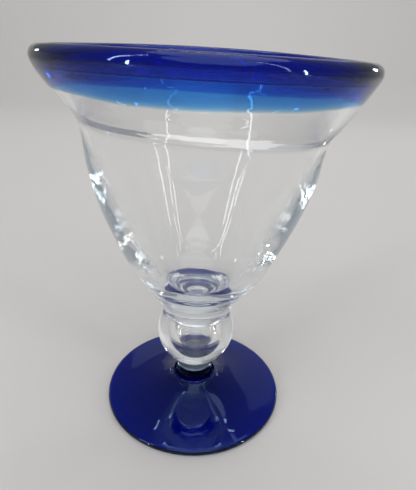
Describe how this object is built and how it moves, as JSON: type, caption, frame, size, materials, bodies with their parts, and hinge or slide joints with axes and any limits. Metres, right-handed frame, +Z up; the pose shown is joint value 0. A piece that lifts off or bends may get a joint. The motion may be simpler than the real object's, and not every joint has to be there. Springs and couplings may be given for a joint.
{
  "type": "stemmed cocktail glass",
  "caption": "Hand-blown cocktail glass: bell-shaped clear bowl with a cobalt lip wrap, ball knop, short neck and a cobalt foot it stands on.",
  "frame": {"origin": "centre of the foot's flat underside, on the table", "axes": "+Z up through the stem to the lip; the lip dips slightly towards +X; +Y points away from the viewer"},
  "size_m": [0.128, 0.128, 0.1663],
  "materials": {
    "cobalt_foot_glass": "fire-polished solid cobalt glass, deep navy where thick",
    "clear_neck_glass": "fire-polished clear glass",
    "clear_knop_glass": "fire-polished clear glass with faint turning lines",
    "clear_bowl_glass": "hand-blown clear glass, slightly wavy",
    "cobalt_rim_glass": "cobalt wrap, navy in the bead and fading out down the flare"
  },
  "bodies": {
    "root": {"foot": "cobalt_foot_glass", "neck": "clear_neck_glass", "knop": "clear_knop_glass", "bowl": "clear_bowl_glass", "rim_wrap": "cobalt_rim_glass"}
  },
  "joints": []
}
